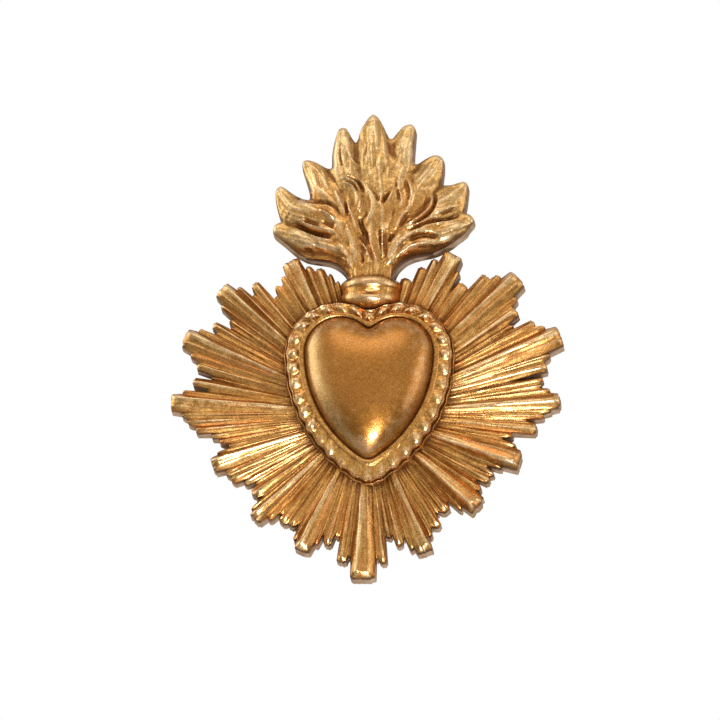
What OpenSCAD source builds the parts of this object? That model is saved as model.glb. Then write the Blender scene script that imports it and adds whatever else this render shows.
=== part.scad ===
// Votive heart: a one-piece cast relief with a flat back, hung on a wall.
// It is drawn lying on its back, with the middle of the sunburst at the
// origin and the front facing up, and is stood upright at the end.

/* [Sunburst] */
// Height of the ray ends above the flat back
edge_t = 6.5; // [5:0.5:9]
// Depth of the valleys between rays, below the height of the ray ends
valley_depth = 1.4; // [0.5:0.1:2.5]
// Extra height of the rays where they meet the heart
burst_rise = 1.5; // [0:0.1:3]
// Height of a flute for each millimetre of its width
flute_pitch = 0.34; // [0.1:0.02:0.6]
// Share of a broad flute's width taken by the flat strip on top
broad_strip = 0.44; // [0.2:0.02:0.6]
// Share of a narrow flute's width taken by its strip
narrow_strip = 0.24; // [0.1:0.02:0.5]
// Length of the sloping nose at the end of each flute
nose = 1.4; // [0.5:0.1:2.5]
// How far the longest ray reaches from the middle of the sunburst
ray_length = 54; // [48:0.5:62]
// Clockwise turn of the rays that point sideways
side_turn = 1.2; // [-3:0.1:3]

/* [Heart] */
// Half of the width of the puffed heart
heart_half_w = 16.6; // [14:0.1:20]
// Radius of the two round lobes
lobe_r = 9.1; // [8:0.1:10.5]
// Height of the heart's widest line above the middle of the sunburst
heart_y = 15.8; // [14:0.1:18]
// Distance from the widest line of the heart down to its tip
heart_drop = 29.5; // [24:0.1:34]
// Height of the puffed heart above the groove round it
dome_h = 7.1; // [5:0.1:10]
// Sideways lean of the heart, for each millimetre of its height
heart_lean = 0.02; // [-0.05:0.01:0.05]

/* [Rim] */
// Width of the crimped rim round the heart
rim_w = 5; // [4:0.1:6]
// Height of the groove between heart and rim, above the rays that meet them
groove_lift = 1.5; // [0.5:0.1:2.5]
// Height of the rim above that groove
rim_h = 0.7; // [0.4:0.1:2]
// Height of a crimp in the rim
crimp_h = 0.6; // [0.2:0.1:1.2]
// Height of the narrow moulding round the rim, above the rays that meet it
moulding_h = 0.1; // [0:0.1:1]
// Number of crimps round one lobe
lobe_crimps = 7; // [6:1:10]
// Number of crimps down one side
side_crimps = 10; // [9:1:15]

/* [Collar] */
// Radius of the rounded ring below the flame
collar_r = 8.2; // [7.5:0.1:9]
// Radius of the bead of that ring
collar_bead = 1.9; // [1.5:0.1:2.4]
// Height of the ring's middle above the middle of the sunburst
collar_y = 34.2; // [33.4:0.1:35.4]
// Depth of the waist below the ring
waist_depth = 0.5; // [0.2:0.1:1.5]
// Radius of the neck that carries the flame
neck_r = 6; // [5:0.1:6.5]
// Height above the back at which the turned front of the collar begins
collar_z = 3.4; // [2:0.1:4]

/* [Flame] */
// Height of a tongue's edge above the flat back
tongue_edge = 5; // [3.5:0.1:6.5]
// Height of the flame's base line above the middle of the collar's ring
flame_lift = 1; // [0.6:0.1:1.4]
// Height of the flame's tallest tip above its base line
flame_h = 46.6; // [40:0.1:54]
// Share by which every tongue is wider
tongue_w = 1; // [0.9:0.01:1.15]
// Share by which the crests of the tongues stand higher
crest_lift = 1; // [0.7:0.05:1.3]

/* [Hanging hole] */
// Diameter of the blind hole in the back
hole_d = 5; // [3:0.5:6]
// Depth of the blind hole
hole_depth = 6; // [4:0.5:7]
// Height of the hole above the middle of the sunburst
hole_y = 22; // [18:0.5:26]

/* [Hidden] */
// Outward slope of the side walls, from the front edge to the back
draft = 0.3;
// Foot of the collar, from the notch of the rim up to its waist: how far across
// as a share of the ring's radius, and how far down as a share of the drop
COLLAR_FOOT = [[0, 1], [0.4, 1], [0.88, 0.72], [1, 0.5], [0.99, 0.34]];
// Heights of the collar's waist, of its neck and of the neck's flare, above the
// ring's middle and in radii of its bead
waist_up = -1.2;
neck_up = 1.4;
flare_up = 2.4;
// Growth of the neck's radius at its flare
flare_r = 1;
// Distance by which the cutter of the hole starts behind the back
overcut = 1;

// Flutes of the sunburst, counter-clockwise from the right: the angle in
// degrees at which each begins, and how far it reaches from the middle when
// the longest one reaches 54. A row holds a ray and the flutes that lead to it.
FLUTES = [
    [0, 45.5], [2, 47.4], [3.2, 49.8], [8.2, 47.5],
    [10.2, 45.5], [12.2, 46.2], [14.4, 40], [15.2, 48], [19, 49.5], [21, 54], [27.4, 51.2],
    [29.5, 49.4], [32.5, 44.4], [35.2, 47.4], [39.2, 49.4], [41.2, 53.2], [47.4, 50.2],
    [49.8, 48.2], [53.2, 42.8], [57.6, 40.2], [58.6, 44.8], [60.4, 48.2], [66.6, 45], [69.6, 42],
    [73, 38], [78, 35], [90, 35],
    [102.5, 37], [104.6, 39.5], [107, 41.6], [111, 43], [114, 46.2], [120.6, 43.6],
    [123.2, 41.8], [124.4, 42.6], [127, 40.4], [129.4, 46.6], [133, 44.4], [134.8, 48.4], [137, 51.4],
    [142.8, 48.4], [144.8, 44.4], [147.2, 43], [148.6, 47.4], [151.6, 45.6], [153, 50], [154.8, 52.2],
    [161, 49], [163.2, 46.6], [166.4, 42], [168.4, 46.4], [171.8, 42.2], [173.2, 48.4], [175, 51.2],
    [180.4, 48], [182.6, 46.6], [185, 44.6], [188, 40.8], [190.4, 38.8], [193.2, 36.6],
    [195.4, 40], [197, 42], [203, 39.4], [206, 38.8], [209.6, 36.2], [212.6, 34],
    [214.6, 36], [219.4, 34.8], [220.6, 38.6], [222.2, 39.8], [227.6, 37.2], [230.2, 34.4],
    [231.8, 36], [235.4, 35.2], [239.2, 34], [240.6, 37.8], [242.8, 39.6], [249.2, 36.8],
    [251.2, 34], [252.4, 35.8], [256.2, 33], [259.2, 39.4], [263.4, 38], [265, 43.4],
    [274.2, 38.4], [275.6, 39.4], [279, 33], [283, 35.6], [286.6, 34.2],
    [288, 37.8], [290.4, 39.6], [297.2, 36.4], [299.6, 34.4], [301, 35],
    [305, 32], [307.4, 32.8], [312.6, 31.4], [314.2, 35.2], [316.8, 37.8],
    [325.4, 35.4], [328.8, 33.2], [330.4, 36], [334.4, 36.4], [336.8, 34.4],
    [338.2, 37.6], [340.2, 41.4], [348.2, 39.2], [350.4, 36], [352, 38],
    [354.6, 43.8], [358.8, 41.6]
];
// Middle angles of the main rays, which stand higher than what lies between
RAYS = [5.5, 24, 44, 63.5, 90, 117.5, 139.5, 157.5, 177.5, 200, 225, 246, 269.5, 294, 321.5, 344.5, 365.5];
longest_flute = max([for (f = FLUTES) f[1]]);
// Angle from the middle of a main ray to where it has sunk to the valleys
ray_spread = 11;
// Share of the valley depth that a main ray stands above the valleys
ray_share = 0.8;
// Angle above which a flute counts as broad
broad_angle = 4.5;
// Highest crest of a flute, as a share of the valley depth
crest_limit = 1.3;
// Share of a crest that is left at the end of its nose
nose_crest = 0.4;
// Angle left free on each side of a flute for the floor of the valley
valley_angle = 0.3;
// Radius inside which the heart covers the sunburst
covered_r = 12;

// Growth of the heart's outline for each millimetre of rim: the radius of the
// lobes, the half width, and the drop to the tip
LOBE_GROWTH = 0.88;
WIDTH_GROWTH = 1.06;
TIP_GROWTH = 1.08;
// Distance by which the rim's widest line lies below that of the heart
rim_drop = 0.5;
// Height at which the leaning heart crosses the middle line
lean_y = -15;
// Stations along a crimp
crimp_steps = 3;
// Rings of the dome, as shares of its outline, and the two powers that round it
DOME_RINGS = [0.2, 0.4, 0.58, 0.73, 0.86, 0.96];
DOME_POWERS = [2.5, 0.6];
// Height of the dome's middle, as a share of the drop from the widest line
dome_middle = 0.3;
// Loops of the rim, in rim widths from the groove: its inner lip, band, crimps
// and outer lip, the gap outside it, the moulding's two edges, and its foot
RIM_LOOPS = [0.1, 0.42, 0.68, 0.96, 1.03, 1.08, 1.16, 1.22];
// Drop from the top of the rim to its rounded lips
lip_drop = 0.4;

// Tongues of the flame. Each row is a tongue, and each point of it lies on its
// middle line, from the neck to the tip: across, up from the base line, half width,
// and height of the crest above the tongue's edge.
OUTER_TONGUES = [
    [[-1.5, 3.6, 2, 3], [-8, 7.8, 2.4, 3.4], [-14, 11, 3.3, 3],
     [-19.4, 13, 3.6, 1.8], [-24.8, 15.2, 1.6, 0.6]],
    [[-3, 7.2, 2.4, 3.4], [-9, 15.4, 3.8, 4], [-15, 18.6, 3.9, 3.2],
     [-20.6, 20.8, 3.2, 1.8], [-24.2, 25, 1.2, 0.6]],
    [[-4, 14.4, 3, 3], [-9, 21.6, 4.6, 3.2], [-12.8, 26.8, 4.5, 2.2],
     [-15.3, 30.4, 2.6, 1.2], [-17.5, 32.8, 1.2, 0.6]],
    [[-3, 19.4, 3, 3], [-6, 27.6, 3.8, 2.8], [-7.4, 33.6, 3.5, 2.2],
     [-8, 39, 2.3, 1.4], [-8.2, 41.4, 1.4, 0.6]],
    [[2, 15.4, 3.4, 4], [2, 25.4, 5, 3.8], [0.6, 33.6, 5, 2.8], [-0.1, 40.4, 3.5, 1.8], [-0.3, 45, 1.6, 0.8]],
    [[4, 17.4, 3, 3], [6, 26.4, 3.8, 3.2], [7.4, 33.4, 3.4, 2.2],
     [8.4, 39.2, 2.8, 1.4], [9.2, 42.4, 1.7, 0.6]],
    [[5, 15.2, 3, 3], [9.6, 22.2, 4, 3.4], [13, 27.8, 4, 2.2],
     [15.6, 31.6, 3, 1.4], [16.8, 34, 1.6, 0.6]],
    [[4, 8.2, 2.5, 3], [11.4, 15.4, 3.6, 3.6], [17.4, 21, 4, 2.4],
     [21.6, 24.2, 3.5, 1.6], [23.7, 26.6, 1.4, 0.6]],
    [[1.5, 3.6, 2, 3], [8.4, 9.8, 2.9, 3.6], [15, 13, 3.8, 2.8], [21.2, 15.2, 3.7, 1.8], [25.2, 17.2, 1.8, 0.6]]
];
INNER_TONGUES = [
    [[-0.8, 3.6, 1.8, 3.6], [-2, 11.2, 2.2, 4.4], [-0.4, 17.2, 2.6, 4.8],
     [1, 22.2, 2.2, 4.2], [1.4, 27.2, 0.8, 3.2]],
    [[1.6, 3.6, 1.8, 3.6], [3, 11.6, 2.2, 4.6], [6, 18, 2.6, 4.8],
     [7.8, 23.6, 2.3, 4.2], [7, 29, 0.8, 3]],
    [[3.7, 3.6, 1.8, 3.6], [4.8, 8.6, 2.2, 4.4], [9.6, 15.6, 3, 4.8],
     [14.4, 20.4, 2.4, 4], [15.4, 24.4, 0.8, 2.8]]
];
SPOON_TONGUE =
    [[-3.4, 3.6, 2.2, 3.6], [-4.8, 12.2, 2.6, 4.8], [-5, 18.8, 3.2, 5.2],
     [-6, 23.8, 3.5, 5], [-7, 27.4, 1.6, 4]];
// Cross-sections of a tongue, from its left edge to its right one: how far
// across in half widths, and how high between the edge and the crest
LEAF = [[1, 0], [0.8, 0.5], [0.45, 0.75], [0.05, 1], [-0.3, 0.5], [-0.7, 0.55], [-1, 0]];
SPOON = [[1, 0.45], [0.72, 1], [0.1, 0.35], [-0.72, 0.95], [-1, 0.4]];
// Length of a tongue's tip beyond the last point, in half widths of that point
tip_length = 0.8;
// Share by which the tongues are taller than in the tables
tallest_row = OUTER_TONGUES[4];
tallest_point = tallest_row[len(tallest_row) - 1];
flame_share = flame_h / (tallest_point[1] + tallest_point[2] * tip_length);
// Steps between two points of a tongue's middle line
tongue_steps = 3;

// Angle between two directions, at most half a turn
function fold(a) = a > 180 ? 360 - a : a;
// Smooth hump: 1 at 0, and 0 from 1 on
function bell(x) = x > 1 ? 0 : 0.5 + 0.5 * cos(180 * x);
// 1 at the middle of a main ray, 0 between two rays
function ray_swell(a) = max([for (r = RAYS) bell(fold(abs(a - r)) / ray_spread)]);

// The four stations of a flute, each as [angle, reach, height of the crest]
function flute_end(i) = i + 1 < len(FLUTES) ? FLUTES[i + 1][0] : 360;
function flute_stations(i) = let(
    a = FLUTES[i][0] + valley_angle,
    b = flute_end(i) - valley_angle,
    middle = (a + b) / 2,
    strip = (b - a) * (b - a > broad_angle ? broad_strip : narrow_strip) / 2,
    r = FLUTES[i][1] * ray_length / longest_flute,
    crest = min((b - a) * PI / 180 * r * flute_pitch, valley_depth * crest_limit)
) [[a, r, 0], [middle - strip, r, crest], [middle + strip, r, crest], [b, r, 0]];

// Height of the sunburst at radius r on one station
function burst_top(station, r) = let(share = r / station[1])
    edge_t - valley_depth * (1 - ray_share * ray_swell(station[0]))
    + burst_rise * (1 - share) + station[2] * share;
// A point of the sunburst, turned by its share of the side turn
function polar(a, r, z) = let(t = a - side_turn * pow(cos(a), 2)) [r * cos(t), r * sin(t), z];

// Triangles between loops that lie one above the other, m loops of n points
function loop_faces(n, m) = [
    for (k = [0 : m - 2], i = [0 : n - 1]) let(
        a = k * n + i,
        b = k * n + (i + 1) % n,
        c = a + n,
        d = b + n
    ) each [[a, b, d], [a, d, c]]
];

// Closes a stack of loops with a point at each end
module stack(first, loops, last) {
    n = len(loops[0]);
    m = len(loops);
    polyhedron(
        points = concat([for (loop = loops) each loop], [first, last]),
        faces = concat(
            [for (i = [0 : n - 1]) [n * m, (i + 1) % n, i]],
            loop_faces(n, m),
            [for (i = [0 : n - 1]) [n * m + 1, n * (m - 1) + i, n * (m - 1) + (i + 1) % n]]
        )
    );
}

module sunburst() {
    stations = [for (i = [0 : len(FLUTES) - 1]) each flute_stations(i)];
    color("darkgoldenrod") stack(
        [0, 0, edge_t + burst_rise],
        [
            [for (s = stations) polar(s[0], covered_r, burst_top(s, covered_r))],
            [for (s = stations) polar(s[0], s[1] - nose, burst_top(s, s[1] - nose))],
            [for (s = stations) polar(s[0], s[1], burst_top([s[0], s[1], s[2] * nose_crest], s[1]))],
            [for (s = stations) polar(s[0], s[1] + draft, 0)]
        ],
        [0, 0, 0]
    );
}

// A heart outline is made of an arc for each lobe and a wider one for each
// side, which meet on the widest line. g is 0 at the groove round the dome
// and 1 at the outer edge of the rim.
function lobe_radius(g) = lobe_r + LOBE_GROWTH * rim_w * g;
function half_width(g) = heart_half_w + WIDTH_GROWTH * rim_w * g;
function widest_y(g) = heart_y - rim_drop * g;
function drop(g) = heart_drop + TIP_GROWTH * rim_w * g;
function side_radius(g) = let(w = half_width(g)) (w * w + drop(g) * drop(g)) / (2 * w);
// Half of the outline, from the notch round a lobe and down to the tip
function half_outline(g) = let(
    lobe_x = half_width(g) - lobe_radius(g),
    notch = 180 - acos(lobe_x / lobe_radius(g)),
    side_x = half_width(g) - side_radius(g),
    span = asin(drop(g) / side_radius(g)),
    lobe_steps = lobe_crimps * crimp_steps,
    side_steps = side_crimps * crimp_steps
) concat(
    [for (i = [0 : lobe_steps - 1]) let(a = notch * (1 - i / lobe_steps))
        [lobe_x + lobe_radius(g) * cos(a), widest_y(g) + lobe_radius(g) * sin(a)]],
    [for (i = [0 : side_steps]) let(a = -span * i / side_steps)
        [side_x + side_radius(g) * cos(a), widest_y(g) + side_radius(g) * sin(a)]]
);
// The whole outline, counter-clockwise from the tip over the right side
function outline(g) = let(half = half_outline(g), n = len(half)) concat(
    [for (i = [0 : n - 1]) leaning(half[n - 1 - i], 1)],
    [for (i = [1 : n - 2]) leaning(half[i], -1)]
);
function leaning(p, side) = [side * p[0] + heart_lean * (p[1] - lean_y), p[1]];
// A ring at one height, or one whose height follows the crimps
function level(g, z) = [for (p = outline(g)) [p[0], p[1], z]];
function crimped(g, z, h) = let(o = outline(g)) [
    for (i = [0 : len(o) - 1]) [o[i][0], o[i][1], z + h * cos(360 * i / crimp_steps)]
];
// A ring of the dome: the outline shrunk towards the middle, and rounded
function dome_ring(s, middle_y, z0) = let(
    z = z0 + dome_h * pow(1 - pow(s, DOME_POWERS[0]), DOME_POWERS[1])
) [
    for (p = outline(0)) let(
        middle = leaning([0, middle_y], 1),
        d = flat(p) - middle,
        rounded = d * heart_half_w / norm(d),
        q = middle + d * s + (rounded - d) * (1 - s) * s
    ) [q[0], q[1], z]
];

module heart() {
    rays_z = edge_t + burst_rise;
    groove_z = rays_z + groove_lift;
    rim_z = groove_z + rim_h;
    moulding_z = rays_z + moulding_h;
    foot_z = edge_t - valley_depth - lip_drop;
    middle_y = heart_y - heart_drop * dome_middle;
    middle = leaning([0, middle_y], 1);
    color("goldenrod") stack(
        [middle[0], middle_y, groove_z + dome_h],
        concat(
            [for (s = DOME_RINGS) dome_ring(s, middle_y, groove_z)],
            [
                level(0, groove_z),
                level(RIM_LOOPS[0], rim_z - lip_drop),
                level(RIM_LOOPS[1], rim_z),
                crimped(RIM_LOOPS[2], rim_z, crimp_h),
                crimped(RIM_LOOPS[3], rim_z - 2 * lip_drop, crimp_h / 2),
                level(RIM_LOOPS[4], rays_z - lip_drop),
                level(RIM_LOOPS[5], moulding_z),
                level(RIM_LOOPS[6], moulding_z),
                level(RIM_LOOPS[7], foot_z)
            ]
        ),
        [middle[0], middle_y, foot_z]
    );
}

// A point of a smooth line through p1 and p2, with p0 and p3 as neighbours
function smooth_point(p0, p1, p2, p3, t) = 0.5 * (
    2 * p1 + (p2 - p0) * t + (2 * p0 - 5 * p1 + 4 * p2 - p3) * t * t
    + (3 * p1 - p0 - 3 * p2 + p3) * t * t * t
);
function smooth_line(p, steps) = let(
    n = len(p),
    q = concat([2 * p[0] - p[1]], p, [2 * p[n - 1] - p[n - 2]])
) concat(
    [for (i = [1 : n - 1], k = [0 : steps - 1]) smooth_point(q[i - 1], q[i], q[i + 1], q[i + 2], k / steps)],
    [p[n - 1]]
);
function flat(p) = [p[0], p[1]];
function ahead(a, b) = let(d = flat(b) - flat(a)) d / norm(d);

// One loop of a tongue, across its middle line: the two corners on the back,
// then the section from the right edge to the left one
function tongue_loop(p, t, section) = let(
    left = [-t[1], t[0]],
    w = p[2] * tongue_w,
    foot = w + draft,
    a = flat(p) + left * foot,
    b = flat(p) - left * foot
) concat(
    [[a[0], a[1], 0], [b[0], b[1], 0]],
    [for (j = [len(section) - 1 : -1 : 0]) let(q = flat(p) + left * w * section[j][0])
        [q[0], q[1], tongue_edge + p[3] * crest_lift * section[j][1]]]
);

module tongue(path, section) {
    line = smooth_line([for (p = path) [p[0], p[1] * flame_share, p[2], p[3]]], tongue_steps);
    n = len(line);
    root = flat(line[0]);
    tip = flat(line[n - 1]) + ahead(line[n - 2], line[n - 1]) * line[n - 1][2] * tip_length;
    stack(
        [root[0], root[1], tongue_edge / 2],
        [
            for (i = [0 : n - 1]) let(before = line[max(i - 1, 0)], after = line[min(i + 1, n - 1)])
                tongue_loop(line[i], ahead(before, after), section)
        ],
        [tip[0], tip[1], tongue_edge / 2]
    );
}

module flame() {
    color("peru") translate([0, collar_y + flame_lift, 0]) {
        for (path = concat(OUTER_TONGUES, INNER_TONGUES)) tongue(path, LEAF);
        tongue(SPOON_TONGUE, SPOON);
    }
}

// Side profile of the collar, from the notch of the rim up to the flame: a
// rounded foot, a waist, the beaded ring, and a neck that widens into the flame
module collar_profile() {
    foot_y = heart_y + lobe_r - collar_y;
    waist_r = collar_r - waist_depth;
    translate([collar_r - collar_bead, 0]) circle(collar_bead, $fn = 24);
    polygon(concat(
        [for (p = COLLAR_FOOT) [p[0] * collar_r, p[1] * foot_y]],
        [
            [waist_r, waist_up * collar_bead], [waist_r, 0],
            [neck_r, neck_up * collar_bead], [neck_r + flare_r, flare_up * collar_bead],
            [0, (flare_up + 1) * collar_bead]
        ]
    ));
}

// The front of the collar is turned, and its sides run down to the back
module collar() {
    color("darkgoldenrod") translate([0, collar_y, 0]) {
        translate([0, 0, collar_z]) rotate([90, 0, 180]) rotate_extrude(angle = 180, $fn = 48) {
            collar_profile();
        }
        for (side = [0, 1]) mirror([side, 0, 0]) linear_extrude(collar_z) collar_profile();
    }
}

module votive_heart() {
    // Stands the relief upright, with the mouth of the hanging hole at the origin
    rotate([90, 0, 0]) translate([0, -hole_y, 0]) difference() {
        union() {
            sunburst();
            heart();
            collar();
            flame();
        }
        translate([0, hole_y, -overcut]) cylinder(d = hole_d, h = hole_depth + overcut, $fn = 48);
    }
}

votive_heart();
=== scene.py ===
import math

import bmesh
import bpy
import numpy as np
from mathutils import Matrix, Vector
from mathutils.bvhtree import BVHTree
from mathutils.geometry import delaunay_2d_cdt


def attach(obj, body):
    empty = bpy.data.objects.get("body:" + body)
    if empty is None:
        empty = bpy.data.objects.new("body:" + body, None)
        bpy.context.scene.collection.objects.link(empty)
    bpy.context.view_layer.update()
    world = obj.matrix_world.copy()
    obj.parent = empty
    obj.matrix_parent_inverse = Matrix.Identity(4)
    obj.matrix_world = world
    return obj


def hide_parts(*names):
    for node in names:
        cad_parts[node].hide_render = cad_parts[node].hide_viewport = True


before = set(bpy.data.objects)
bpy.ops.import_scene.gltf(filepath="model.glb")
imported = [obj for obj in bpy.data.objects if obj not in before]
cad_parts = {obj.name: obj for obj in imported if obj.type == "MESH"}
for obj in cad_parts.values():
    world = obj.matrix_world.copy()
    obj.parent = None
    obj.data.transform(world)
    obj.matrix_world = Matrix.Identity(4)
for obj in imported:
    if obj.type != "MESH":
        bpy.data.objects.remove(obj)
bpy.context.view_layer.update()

# The object is modelled in millimetres, lying on its back: x to the right,
# y up and z to the front, from the middle of the sunburst on the flat back

# Height of the ray ends above the back
EDGE_T = 6.5
# Depth of the valleys between rays, below the height of the ray ends
VALLEY_DEPTH = 1.4
# Rise of the rays from their ends to the middle of the sunburst
BURST_RISE = 1.5
# Height of a flute for each millimetre of its width
FLUTE_PITCH = 0.34
# Angle in degrees above which a flute counts as broad
BROAD_ANGLE = 4.5
# Gap in degrees on each side of a flute
FLUTE_GAP = 0.3
# Share of a narrow flute's width taken by the strip on its top
NARROW_STRIP = 0.24
# Length of the sloping nose at the end of each flute
NOSE = 1.82
# Degrees from the middle of a main ray to where it has sunk to the valleys
RAY_SPREAD = 11
# Share of the valleys' depth that a main ray stands above them
RAY_SHARE = 0.8
# Radius at which the flutes begin, hidden below the heart
FLUTE_START = 12.0

# Half of the width of the puffed heart, and the radius of its lobes
HEART_HALF_W = 16.5
LOBE_R = 9.1
# Height of the heart's widest line, and the drop from there to its tip
HEART_Y = 15.8
HEART_DROP = 28.9
# Height of the puffed heart above the groove round it
DOME_H = 7.1
# Sideways lean for each millimetre of height, and place across
HEART_LEAN = -0.013
HEART_X = 0.5
# Width of the crimped rim, height of the groove inside it above the rays,
# height of the rim above that groove, and of a crimp
RIM_W = 5.0
GROOVE_LIFT = 1.5
RIM_H = 0.7
CRIMP_H = 0.6
# Crimps round one lobe and down one side, and mesh points along each
LOBE_CRIMPS = 7
SIDE_CRIMPS = 10
CRIMP_STATIONS = 12

# Radius of the collar's ring and of its bead, and the ring's place
COLLAR_R = 8.2
COLLAR_BEAD = 1.9
COLLAR_X = 0.2
COLLAR_Y = 34.2
# Depth of the waist below the ring, and radius of the neck above it
WAIST_DEPTH = 0.5
NECK_R = 6.0
# Height above the back at which the collar's turned front begins
COLLAR_Z = 3.4

# Height of the flame's front at its edge, and the spacing of its mesh
TONGUE_EDGE = 5.0
FLAME_STEP = 0.27
# Softness with which the bodies of the flame run into each other
BLEND = 0.27

# Hanging hole in the back
HOLE_D = 5.0
HOLE_DEPTH = 6.0
HOLE_Y = 22.0

# How far the side walls lean outwards from front to back
DRAFT = 0.3
# Tilt of the rays and the flame's bodies: drop for each millimetre to the right
SKEW = 0.0215

# Height of a broad flute across its width, as shares, with its wide facet last
BROAD_PROFILE = [
    (0, 0), (0.05, 0.3), (0.1, 0.55), (0.15, 0.75), (0.2, 0.95), (0.25, 1.04), (0.3, 1.02), (0.35, 0.94),
    (0.43, 0.83), (0.53, 0.69), (0.63, 0.55), (0.68, 0.53), (0.73, 0.63), (0.78, 0.54), (0.88, 0.27), (1, 0),
]
# Sizes of the dome's rings, as shares of its outline
DOME_RINGS = [
    0.04, 0.1, 0.17, 0.24, 0.31, 0.38, 0.45, 0.52, 0.59, 0.66, 0.72, 0.78, 0.83, 0.88, 0.92, 0.955,
    0.98, 0.995,
]
# Sections of the rim: growth from 0 at the groove to 1 at the rim's edge, and
# height, first above the groove, then above the rim and above the rays
GROOVE_ROWS = [(0.015, 0.15), (0.035, 0.3)]
LIP_ROWS = [(0.07, -0.25), (0.13, -0.1), (0.19, -0.05), (0.26, 0), (0.32, -0.1)]
EDGE_ROWS = [(0.91, -0.35), (0.955, -0.2), (1.0, -0.45), (1.02, -1.0)]
MOULDING_ROWS = [(1.04, -0.3), (1.06, -0.2), (1.08, 0), (1.105, 0.05), (1.13, -0.05), (1.17, -0.5)]
# The same across the crimps, with their share of a crimp's height last
CRIMP_ROWS = [
    (0.36, -0.35, 0.1), (0.41, -0.5, 0.5), (0.48, -0.55, 0.9), (0.56, -0.6, 1.12),
    (0.65, -0.62, 1.2), (0.74, -0.65, 1.1), (0.82, -0.68, 0.8), (0.88, -0.65, 0.45),
]

# Flutes: start angle and reach, counter-clockwise from the right
FLUTES = [
    (0, 45.5), (2, 47.4), (3.2, 49.8), (8.2, 47.5),
    (10.2, 45.5), (12.2, 46.2), (14.4, 40), (15.2, 48), (19, 49.5), (21, 54), (27.4, 51.2),
    (29.5, 49.4), (32.5, 44.4), (35.2, 47.4), (39.2, 49.4), (41.2, 53.2), (47.4, 50.2),
    (49.8, 48.2), (53.2, 42.8), (57.6, 40.2), (58.6, 44.8), (60.4, 48.2), (66.6, 45), (69.6, 42),
    (73, 38), (78, 35), (90, 35),
    (102.5, 37), (104.6, 39.5), (107, 41.6), (111, 43), (114, 46.2), (120.6, 43.6),
    (123.2, 41.8), (124.4, 42.6), (127, 40.4), (129.4, 46.6), (133, 44.4), (134.8, 48.4), (137, 51.4),
    (142.8, 48.4), (144.8, 44.4), (147.2, 43), (148.6, 47.4), (151.6, 45.6), (153, 50), (154.8, 52.2),
    (161, 49), (163.2, 46.6), (166.4, 42), (168.4, 46.4), (171.8, 42.2), (173.2, 48.4), (175, 51.2),
    (180.4, 48), (182.6, 46.6), (185, 44.6), (188, 40.8), (190.4, 38.8), (193.2, 36.6),
    (195.4, 40), (197, 42), (203, 39.4), (206, 38.8), (209.6, 36.2), (212.6, 34),
    (214.6, 36), (219.4, 34.8), (220.6, 38.6), (222.2, 39.8), (227.6, 37.2), (230.2, 34.4),
    (231.8, 36), (235.4, 35.2), (239.2, 34), (240.6, 37.8), (242.8, 39.6), (249.2, 36.8),
    (251.2, 34), (252.4, 35.8), (256.2, 33), (259.2, 39.4), (263.4, 38), (265, 43.4),
    (274.2, 38.4), (275.6, 39.4), (279, 33), (283, 35.6), (286.6, 34.2),
    (288, 37.8), (290.4, 39.6), (297.2, 36.4), (299.6, 34.4), (301, 35),
    (305, 32), (307.4, 32.8), (312.6, 31.4), (314.2, 35.2), (316.8, 37.8),
    (325.4, 35.4), (328.8, 33.2), (330.4, 36), (334.4, 36.4), (336.8, 34.4),
    (338.2, 37.6), (340.2, 41.4), (348.2, 39.2), (350.4, 36), (352, 38),
    (354.6, 43.8), (358.8, 41.6),
]
# Middle angles of the main rays
RAYS = [5.5, 24, 44, 63.5, 90, 117.5, 139.5, 157.5, 177.5, 200, 225, 246, 269.5, 294, 321.5, 344.5]

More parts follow.
